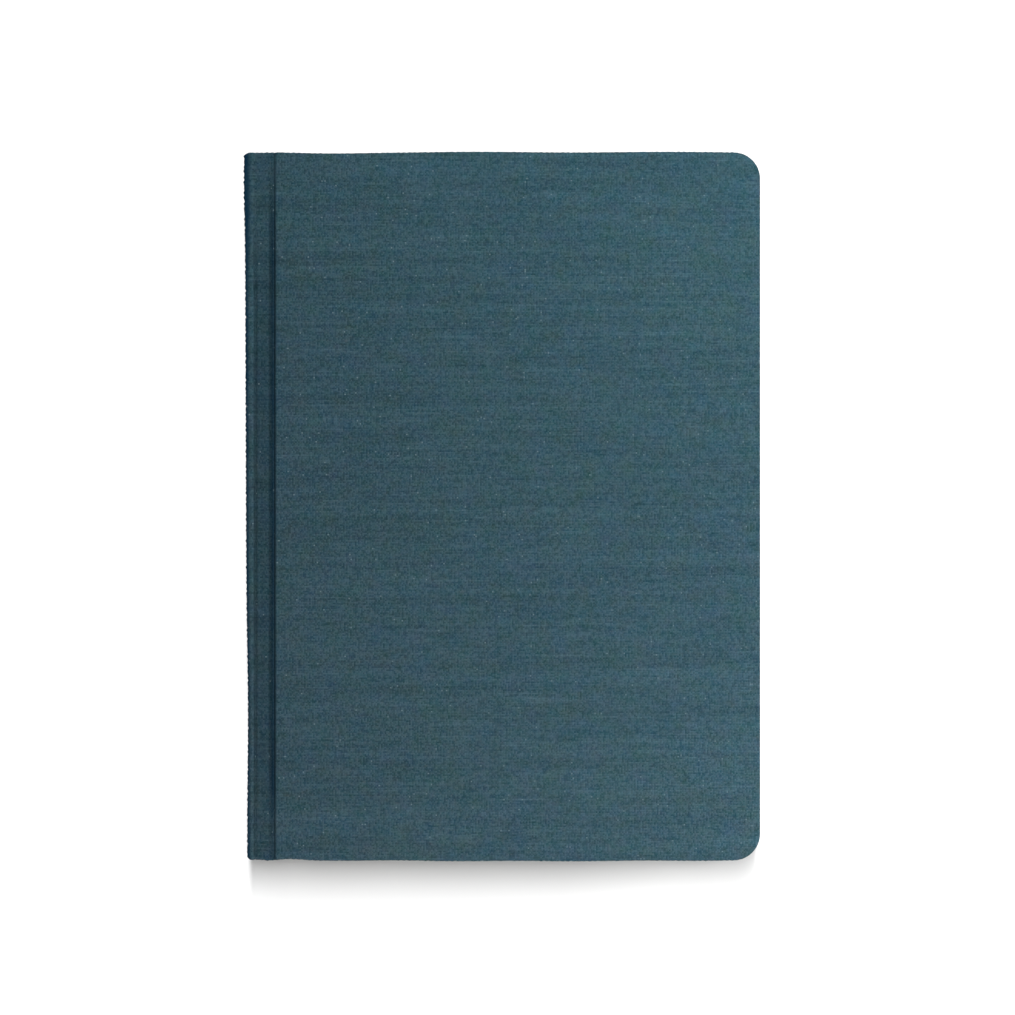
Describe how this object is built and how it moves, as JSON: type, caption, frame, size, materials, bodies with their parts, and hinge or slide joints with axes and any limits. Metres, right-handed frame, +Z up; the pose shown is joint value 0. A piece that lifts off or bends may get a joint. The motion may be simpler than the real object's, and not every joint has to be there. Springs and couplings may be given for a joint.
{
  "type": "pilot logbook",
  "caption": "Case-bound cloth logbook with rounded fore-edge corners, pressed joints, hinged covers, endpapers and sewn sections of log pages.",
  "frame": {"origin": "middle of the back cover's outer face, on the surface that the closed book lies on", "axes": "+X from the spine to the fore-edge, +Y from the tail to the head, +Z up through the closed book and out of the front cover"},
  "size_m": [0.157, 0.216, 0.0186],
  "materials": {
    "bookcloth": "teal book cloth, plain weave with slubs, matt",
    "board": "grey binder's board",
    "endpaper": "plain cream endpaper",
    "page": "off-white ruled ledger paper",
    "mull": "starched open gauze",
    "kraft": "brown kraft lining paper",
    "thread": "white linen thread",
    "headband": "blue and cream striped band"
  },
  "bodies": {
    "text_block": {"spine_board": "board", "spine_cloth": "bookcloth", "front_joint_cloth": "bookcloth", "back_joint_cloth": "bookcloth", "spine_mull": "mull", "spine_lining": "kraft", "sewing_thread": "thread", "head_band": "headband", "tail_band": "headband", "section_03": "page", "section_04": "page", "section_05": "page", "section_06": "page", "section_07": "page", "section_08": "page", "section_09": "page", "section_10": "page", "section_11": "page", "section_12": "page"},
    "front_cover": {"front_board": "board", "front_cloth": "bookcloth", "front_pastedown": "endpaper", "front_mull_wing": "mull"},
    "back_cover": {"back_board": "board", "back_cloth": "bookcloth", "back_pastedown": "endpaper", "back_mull_wing": "mull"},
    "front_flyleaf": {"front_flyleaf": "endpaper"},
    "back_flyleaf": {"back_flyleaf": "endpaper"},
    "section_01": {"section_01": "page"},
    "section_02": {"section_02": "page"}
  },
  "joints": [
    {"name": "front_cover_hinge", "type": "hinge", "parent": "text_block", "child": "front_cover", "pos_m": [-0.0755, 0, 0.0161], "axis": [0, -1, 0], "range_deg": [0, 179], "deforming": ["front_joint_cloth", "front_pastedown", "front_mull_wing"]},
    {"name": "back_cover_hinge", "type": "hinge", "parent": "text_block", "child": "back_cover", "pos_m": [-0.0755, 0, 0.0025], "axis": [0, 1, 0], "range_deg": [0, 179.9], "deforming": ["back_joint_cloth", "back_pastedown", "back_mull_wing"]},
    {"name": "front_flyleaf_turn", "type": "hinge", "parent": "text_block", "child": "front_flyleaf", "pos_m": [-0.0755, 0, 0.0168], "axis": [0, -1, 0], "range_deg": [0, 179]},
    {"name": "section_01_turn", "type": "hinge", "parent": "text_block", "child": "section_01", "pos_m": [-0.0755, 0, 0.0168], "axis": [0, -1, 0], "range_deg": [0, 177.5]},
    {"name": "section_02_turn", "type": "hinge", "parent": "text_block", "child": "section_02", "pos_m": [-0.0755, 0, 0.0168], "axis": [0, -1, 0], "range_deg": [0, 175.5]},
    {"name": "back_flyleaf_turn", "type": "hinge", "parent": "text_block", "child": "back_flyleaf", "pos_m": [-0.0755, 0, 0.0018], "axis": [0, 1, 0], "range_deg": [0, 179.9]}
  ],
  "couplings": [
    {"joint": "front_flyleaf_turn", "follows": "front_cover_hinge", "ratio": 1},
    {"joint": "section_01_turn", "follows": "front_cover_hinge", "ratio": 0.99},
    {"joint": "section_02_turn", "follows": "front_cover_hinge", "ratio": 0.98},
    {"joint": "back_flyleaf_turn", "follows": "back_cover_hinge", "ratio": 1}
  ]
}
